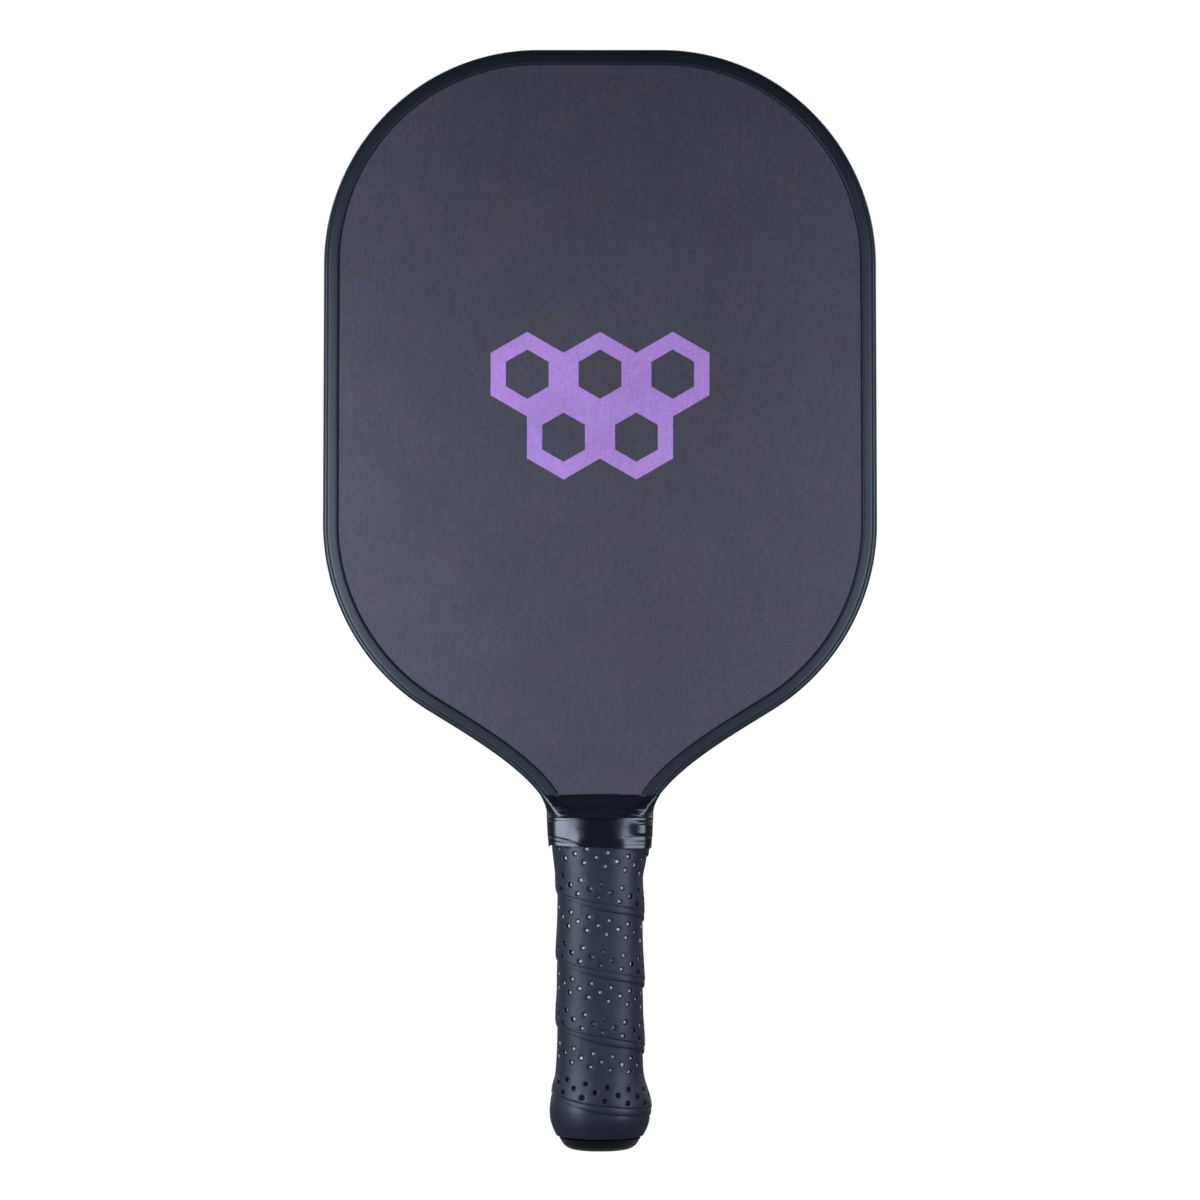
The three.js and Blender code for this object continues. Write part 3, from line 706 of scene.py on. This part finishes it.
def cut_hole(points, rim, u, t, out, seed):
    """A round hole sunk from a square rim. It adds its points, and returns its faces and their materials."""
    shift = (0.16 * fuzz(*seed, 0, 1.7, 4), 0.12 * fuzz(*seed, 5, 1.7, 5))
    size = HOLE_RADIUS * (1 + 0.12 * fuzz(*seed, 9, 1.3, 6))
    deep = min(HOLE_DEPTH, out - 0.5)
    # The floor stops short of the pallets under it.
    floor = [strip_point(u + (shift[0] + side) / TURN, t + shift[1], out - deep - 0.03)
             for side in (-0.75, 0, 0.75)]
    deep -= max(math.dist(place, clear_of_pallets(place, FLOOR_CLEAR)) for place in floor) * 1.1
    sides = len(HOLE_RIM)
    faces, kinds = [], []
    # The wall down to each hole's floor is painted near black: painted shade.
    steps = ((1.13, 0.01, SKIN), (1.03, 0.07, SKIN), (0.95, 0.26 * min(1, deep), SKIN), (0.6, deep, SHADED_WALL))
    for share, depth, kind in steps:
        radius = size * share
        ring = []
        for k, (a, b) in enumerate(HOLE_RIM):
            # Each point faces one on the rim, partly evened out round the circle.
            square = math.atan2(b * HOLE_CELL, a * TURN * STRIP_STEP)
            even = 2 * math.pi * (k if k < 7 else k - sides) / sides
            angle = 0.4 * square + 0.6 * even
            du = (math.cos(angle) * radius + shift[0]) / TURN
            dt = math.sin(angle) * radius * 0.94 + shift[1]
            ring.append(len(points))
            points.append(strip_point(u + du, t + dt, out - depth))
        for k in range(sides):
            faces.append((rim[k], rim[(k + 1) % sides], ring[(k + 1) % sides], ring[k]))
            kinds.append(kind)
        rim = ring
    middle = len(points)
    points.append(strip_point(u + shift[0] / TURN, t + shift[1], out - deep - 0.03))
    closed = u < 0.62 and t < 9  # low on the first turn, over the butt, the floors too are painted near black: painted shade
    for k in range(sides):
        faces.append((rim[k], rim[(k + 1) % sides], middle))
        kinds.append(SHADED_WALL if closed else FLOOR)
    return faces, kinds


def build_strip():
    """The perforated strip, wound upwards so that each turn's lower edge lies over the turn below."""
    count = int((STRIP_END - STRIP_START) / STRIP_STEP)
    columns = [STRIP_START + i * STRIP_STEP for i in range(count + 1)]
    lines = strip_lines()
    rows, backs = len(lines), len(BACK_LINES)
    points, faces, kinds = [], [], []
    index, outs = {}, {}
    for i, u in enumerate(columns):
        pitch, flange = strip_pitch(u), flange_width(u)
        for j, (base, share, kind) in enumerate(lines):
            t = line_height(base, share, pitch, flange)
            level = line_level(base, share, kind, strip_out(u, min(t, pitch), pitch))
            index[i, j] = len(points)
            outs[i, j] = level
            points.append(clear_of_pallets(strip_point(u, t, level), STRIP_CLEAR))
    back = []
    for u in columns:
        for t in BACK_LINES:
            back.append(len(points))
            points.append(clear_of_pallets(strip_point(u, t, BACK_OUT), BACK_CLEAR))
    skipped = set()
    for j, (_, t, kind) in enumerate(lines):
        if kind not in ("level", "staggered"):
            continue
        offset = STEPS_PER_HOLE // 2 if kind == "staggered" else 0
        for i in range(offset, count - 2, STEPS_PER_HOLE):
            u = columns[i]
            crowded = strip_pitch(u) <= FULL_PITCH and t > LOWER_ROWS
            if i < 6 or ridge_height(u) + t > GRIP_TOP - 3 or crowded:
                continue
            for di in range(-2, 2):
                skipped.update([(i + di, j - 1), (i + di, j)])
            rim = [index[i + a, j + b] for a, b in HOLE_RIM]
            hole_faces, hole_kinds = cut_hole(points, rim, u, t, outs[i, j], (i, j))
            faces += hole_faces
            kinds += hole_kinds
    for i in range(count):
        for j in range(rows - 1):
            if (i, j) not in skipped:
                faces.append((index[i, j], index[i + 1, j], index[i + 1, j + 1], index[i, j + 1]))
        here, after = back[i * backs:(i + 1) * backs], back[(i + 1) * backs:(i + 2) * backs]
        for k in range(backs - 1):
            faces.append((here[k], after[k], after[k + 1], here[k + 1]))
        faces.append((index[i, rows - 1], index[i + 1, rows - 1], after[0], here[0]))
        faces.append((here[-1], after[-1], index[i + 1, 0], index[i, 0]))
    for i in (0, count):
        faces.append(tuple([index[i, j] for j in range(rows)] + back[i * backs:(i + 1) * backs]))
    kinds += [SKIN] * (len(faces) - len(kinds))
    return make("grip_strip", points, faces, [FINISH["grip_skin"], SHADED_HOLE_WALL, HOLE_FLOOR], 48, kinds)


piece(build_strip(), "grip_skin", "grip_wrap")


def build_start_turn():
    """The strip's first turn, laid level round the butt: plain, its cut edge making a ledge over the cap."""
    # Height and distance off the bed: up the outer side, then down the inner one.
    profile = [
        (5.5, 0.15), (5.32, 0.35), (5.25, 0.6), (5.36, 0.82), (5.8, 1.0), (6.6, 1.2), (7.6, 1.42), (8.8, 1.6),
        (10.2, 1.68), (12, 1.6), (14.5, 1.45), (17, 1.38), (20, 1.3), (23, 1.22), (26, 1.12), (30, 1.0),
        (34, 0.9), (38, 0.7), (38, 0.1),
    ]
    profile += [(z, 0.08) for z in (34, 31.5, 29, 26.5, 24, 21, 18, 15, 12, 9)] + [(7, 0.1)]
    around = 200
    points = []
    for z, out in profile:
        for i in range(around):
            f = i / around
            x, y = round_grip(f)
            sway = 0.32 * fuzz(x, y, 0, 13, 7) + 0.12 * fuzz(x, y, 0, 4, 8)
            rise = 0.6 * sway * smoothstep((9 - z) / 3)
            dent = 0.10 * fuzz(x, y, z * 1.6, 7, 9) + 0.16 * fuzz(x, y, z, 14, 10)
            dent *= smoothstep((out - 0.3) / 0.6)
            # Where the strip's next turn lies over it, it is pressed thin.
            u = f if f < STRIP_START + 1 else f - 1
            covered = smoothstep((z - ridge_height(u) + flange_width(u) - 0.6) / 1.6)
            level = out + dent
            points.append(BED.point(f, z + rise, level + (min(level, 0.22) - level) * covered))
    faces = tube_faces(len(profile), around, joined=True)
    return make("grip_start_turn", points, faces, [FINISH["grip_skin"]], 50)


piece(build_start_turn(), "grip_skin", "grip_wrap")


def build_backing():
    """The foam on the strip's back, with the shallow spiral joint between its turns."""
    around, heights = 120, np.arange(6.4, 121.0, 0.8)
    points = []
    for z in heights:
        for i in range(around):
            f = i / around
            joint = min(abs(z - ridge_height(f + k)) for k in range(-1, 5))
            out = 0.24 - 0.08 * math.exp(-((joint / 0.9) ** 2))
            points.append(clear_of_pallets(BED.point(f, z, out), 0.1))
    for z in heights[::-1]:
        for i in range(around):
            points.append(clear_of_pallets(BED.point(i / around, z, 0.06), 0.02))
    faces = tube_faces(2 * len(heights), around, joined=True)
    return make("grip_backing", points, faces, [FINISH["grip_foam"]], 40)


foam = piece(build_backing(), "grip_foam", "grip_cushion")


# ------------------------------------------------------------------ butt cap
def build_cap():
    """The moulded cap: a domed, glossy end, a flare under the grip and a socket for the pallets."""
    # Height, half width, half depth, bevel.
    stations = [
        (0, 8.4, 7.5, 4.4), (0.12, 9.6, 8.7, 5.1), (0.4, 10.9, 9.9, 5.8), (0.9, 12.0, 11.0, 6.4),
        (1.6, 12.95, 11.95, 7), (2.5, 13.7, 12.65, 7.5), (3.3, 14.15, 13.1, 7.9), (3.9, 14.5, 13.45, 8.05),
        (4.3, 14.75, 13.65, 8.1), (4.62, 14.78, 13.68, 8.15), (4.85, 14.6, 13.5, 8.2),
        (5.05, 14.5, 13.4, 8.25),
        (6.2, 14.95, 13.85, 8.5), (10.5, 16.3, 15.2, 9.2), (15, 17.1, 16.0, 9.8), (19.5, 16.5, 15.4, 9.4),
        (24, 15.1, 14.0, 8.2), (28, 14.4, 13.3, 7.1), (CAP_TOP, 14.4, 13.3, 7.1),
    ]
    rings = [(z, ring_of(w, d, b)[:-1]) for z, w, d, b in stations]
    socket = ring_of(13.3, 12.2, 6.4)[:-1]
    rings += [(CAP_TOP, socket), (4.4, socket)]
    points = [(x, y, z) for z, ring in rings for x, y in ring]
    faces = tube_faces(len(rings), RING)
    faces.append(tuple(reversed(range(RING))))
    last = (len(rings) - 1) * RING
    faces.append(tuple(last + i for i in range(RING)))
    return make("butt_cap_moulding", points, faces, [FINISH["cap_plastic"]], 40)


piece(build_cap(), "cap_plastic", "butt_cap")

# ------------------------------------------------------------------ finishing tape
# Height, then the corners of the ring and the share cut off them, as tape_ring takes them.
TAPE = Surface([
    (109.6, 18.7, 5.8, 17.3, 10.1, 12.4, 12.6, 7.4, 15.0, 0.22),
    (112.6, 18.9, 6.0, 17.45, 10.2, 12.4, 12.75, 7.4, 15.1, 0.22),
    (114.2, 19.1, 6.0, 17.6, 10.4, 12.8, 12.95, 6.0, 15.2, 0.22),
    (119.6, 19.35, 6.0, 17.7, 10.5, 12.9, 13.0, 6.0, 15.2, 0.22),
    (121.0, 19.4, 6.0, 17.7, 10.4, 12.95, 12.95, 6.0, 15.2, 0.22),
    (121.9, 19.4, 5.8, 17.8, 9.3, 14.6, 11.7, 7.5, 14.1, 0.16),
    (123.5, 19.4, 5.5, 17.9, 8.8, 16.7, 10.6, 9.6, 12.4, 0.1),
    (125.3, 19.9, 5.6, 18.5, 8.6, 17.7, 9.75, 12.0, 10.8, 0.1),
    (127.2, 20.7, 5.7, 19.5, 8.45, 18.9, 9.0, 14.0, 9.25, 0.1),
    (129.2, 21.9, 5.8, 20.9, 8.4, 19.6, 8.42, 16.5, 8.4, 0.1),
], section=tape_ring, step=0.2, soften=0.28)
TAPE_LOW, TAPE_HIGH = 110.7, 129.05
TAPE_INSIDE = 0.36  # how far the tape's inner side lies in from its outer one


def tape_relief(x, z, front):
    """Creases, overlap edges and drawn waviness of the stretched windings, as a distance outwards."""
    relief = 0.028 * fuzz(x * 0.12, front * 3, z, 0.9, 11) + 0.07 * fuzz(x * 0.35, front * 3, z, 2.4, 12)
    relief += 0.16 * fuzz(x, front * 3, z, 6.5, 13)

    def step(height, rise, width=0.16):
        return rise * (0.5 + 0.5 * math.tanh((height - z) / width))

    def fold(height, rise, width=0.3):
        return rise * math.exp(-(((z - height) / width) ** 2))

    arch = 122.9 - 1.6 * (x / 17) ** 2
    relief += step(arch, 0.10) + fold(arch + 0.3, 0.10, 0.22)
    relief += fold(120.9 - 0.5 * (x / 17) ** 2, -0.14, 0.26)
    relief += step(126.4 - 0.5 * math.cos(x / 6), 0.06, 0.25)
    relief += fold(125.0 + 0.8 * math.cos(x / 8 + 0.6), 0.07, 0.4)
    relief += fold(124.1 - 0.9 * (x / 17) ** 2, -0.05, 0.3)
    left = smoothstep((-x - 3.5) / 6)
    relief += left * (fold(112.9 - 0.2 * (x + 11), -0.26, 0.26) + fold(112.2 - 0.2 * (x + 11), 0.12, 0.4))
    right = smoothstep((x - 6) / 5)
    relief += right * (fold(114.3, -0.2, 0.24) + fold(118.3 + 0.05 * x, -0.13, 0.26) + fold(113.2, 0.08, 0.6))
    relief += smoothstep((x - 12.5) / 3) * fold(116.6 - 0.3 * (x - 14), -0.1, 0.25)
    relief += fold(111.6 - 0.03 * x, -0.10, 0.22) * (1 - left)
    # On the right, the windings are drawn up over a bulge.
    drawn_up = smoothstep((z - 114.9) / 0.8) * (1 - smoothstep((z - 118.4) / 2.2))
    relief += drawn_up * 0.75 * math.exp(-(((x - 15.4) / 3.0) ** 2))
    return relief


def tape_row(height, out, rim):
    """A ring of the tape's points, some way off its surface. The crown of the two mouths' rims is flatter."""
    points = []
    for i in range(RING):
        f = i / RING
        x, y, _ = TAPE.point(f, height)
        front = -1 if y < 0 else 1
        foot = 0.035 * x * front + 0.22 * fuzz(x, y, 0, 7, 14)
        crown = 0.5 * (1 - (x / 20) ** 2) + 0.12 * fuzz(x, y, 3, 3, 15)
        share = (height - TAPE_LOW) / (TAPE_HIGH - TAPE_LOW)
        z = height + foot * max(1 - share, 0) ** 4
        z += crown * smoothstep((share - 0.75) / 0.25) * (0.6 if rim else 1)
        relief = tape_relief(x * (-front), z, front) if abs(y) > 7 else 0.05 * fuzz(x, y, z, 2.6, 16)
        relief *= min(1, max(0, (out + 0.35) / 0.35))
        # Between the guard's lips the top edge sinks to the face.
        sink = smoothstep((z - 126.9) / 1.9) * smoothstep((18.0 - abs(x)) / 5.0)
        gx, gy, gz = TAPE.point(f, z, out + relief)
        gy -= math.copysign(sink, gy) if abs(gy) > 4 else 0
        points.append((gx, gy, gz))
    return points


def build_tape():
    """The stretched vinyl windings over the grip's top edge, their mouth lying on the face and the guard."""
    heights = [*np.arange(TAPE_LOW, 120.0, 0.25), *np.arange(120.0, TAPE_HIGH, 0.16), TAPE_HIGH]
    rows = [(TAPE_LOW + 0.25, -0.42, True), (TAPE_LOW, -0.12, True)]
    rows += [(height, 0.0, False) for height in heights]
    rows += [(TAPE_HIGH + 0.02, -0.14, True), (TAPE_HIGH - 0.3, -0.34, True)]
    rows += [(height, -TAPE_INSIDE, True) for height in (124.5, 121.4, 116)]
    points = []
    for height, out, rim in rows:
        points += tape_row(height, out, rim)
    faces = tube_faces(len(rows), RING, joined=True)
    return make("finishing_tape_turns", points, faces, [FINISH["tape_vinyl"]], 60)


piece(build_tape(), "tape_vinyl", "finishing_tape")


# ------------------------------------------------------------------ stage, light and camera
def area_light(name, place, target, size, power, colour):
    """A rectangular light that faces a target and isn't seen by the camera."""
    data = bpy.data.lights.new(name, "AREA")
    data.shape = "RECTANGLE"
    data.size, data.size_y = size
    data.energy = power
    data.color = colour
    obj = bpy.data.objects.new(name, data)
    bpy.context.scene.collection.objects.link(obj)
    obj.location = place
    obj.visible_camera = False
    obj.rotation_euler = (Vector(target) - Vector(place)).to_track_quat("-Z", "Y").to_euler()
    return obj


def build_world():
    """White as the camera sees it. As light, dim in front of the paddle and brighter behind it."""
    world = bpy.data.worlds.new("studio")
    bpy.context.scene.world = world
    world.use_nodes = True
    sky = world.node_tree
    background = sky.nodes["Background"]
    seen = sky.nodes.new("ShaderNodeLightPath").outputs["Is Camera Ray"]
    where = sky.nodes.new("ShaderNodeTexCoord").outputs["Generated"]
    parts = sky.nodes.new("ShaderNodeSeparateXYZ")
    sky.links.new(where, parts.inputs[0])
    depth = sky.nodes.new("ShaderNodeMapRange")
    depth.inputs["From Min"].default_value = -0.5
    depth.inputs["From Max"].default_value = 0.9
    depth.inputs["To Min"].default_value = 0.04
    depth.inputs["To Max"].default_value = 0.4
    sky.links.new(parts.outputs["Y"], depth.inputs["Value"])
    strength = sky.nodes.new("ShaderNodeMix")
    sky.links.new(seen, strength.inputs[0])
    sky.links.new(depth.outputs["Result"], strength.inputs[2])
    strength.inputs[3].default_value = 1.0
    sky.links.new(strength.outputs[0], background.inputs["Strength"])
    background.inputs["Color"].default_value = (1, 1, 1, 1)


def build_floor():
    """A wide pale floor below the paddle, near white to the camera."""
    paint = Paint("pale_floor", Specular_IOR_Level=0.1)
    speck = paint.noise(9, 3.0)
    paint.put("Base Color", paint.mix(speck, (0.33, 0.33, 0.33), (0.37, 0.37, 0.37)))
    paint.put("Roughness", paint.span(speck, 0.85, 0.95))
    paint.shader.inputs["Emission Color"].default_value = (1, 1, 1, 1)
    seen = paint.tree.nodes.new("ShaderNodeLightPath").outputs["Is Camera Ray"]
    paint.put("Emission Strength", paint.math("MULTIPLY", seen, 0.95))
    reach, drop = 30, 0.9  # half its width, and how far it lies below the butt end
    z = BUTT_Z / 1000 - drop
    mesh = bpy.data.meshes.new("floor")
    corners = [(-reach, -reach, z), (reach, -reach, z), (reach, reach, z), (-reach, reach, z)]
    mesh.from_pydata(corners, [], [(0, 1, 2, 3)])
    mesh.materials.append(paint.material)
    obj = bpy.data.objects.new("floor", mesh)
    bpy.context.scene.collection.objects.link(obj)
    return obj


def place_camera(distance, framed):
    """Straight in front of the paddle's middle; framed is the picture's width there."""
    data = bpy.data.cameras.new("camera")
    camera = bpy.data.objects.new("camera", data)
    bpy.context.scene.collection.objects.link(camera)
    camera.location = MIDDLE + Vector((0, -distance, 0))
    camera.rotation_euler = (math.radians(90), 0, 0)
    data.sensor_width = 36
    data.lens = data.sensor_width * distance / framed
    data.clip_end = 100
    bpy.context.scene.camera = camera


MIDDLE = Vector((0, 0, (LENGTH / 2 + BUTT_Z) / 1000))
SOFTBOX = (0.69, 0.80, 1.0)  # the lights' cool colour
CAMERA_DISTANCE, FRAME_WIDTH = 1.6, 0.4372
area_light("softbox_left", (-0.28, -0.24, 0.095), MIDDLE, (0.22, 0.36), 1.95, SOFTBOX)
area_light("softbox_right", (0.28, -0.24, 0.095), MIDDLE, (0.22, 0.36), 1.3, SOFTBOX)
area_light("fill_rear_left", (-1.0, 1.5, 1.1), MIDDLE, (0.9, 0.9), 13, SOFTBOX)
area_light("fill_rear_right", (1.0, 1.5, 1.1), MIDDLE, (0.9, 0.9), 13, SOFTBOX)
build_world()
floor = build_floor()
place_camera(CAMERA_DISTANCE, FRAME_WIDTH)
bpy.context.scene.view_settings.view_transform = "Standard"
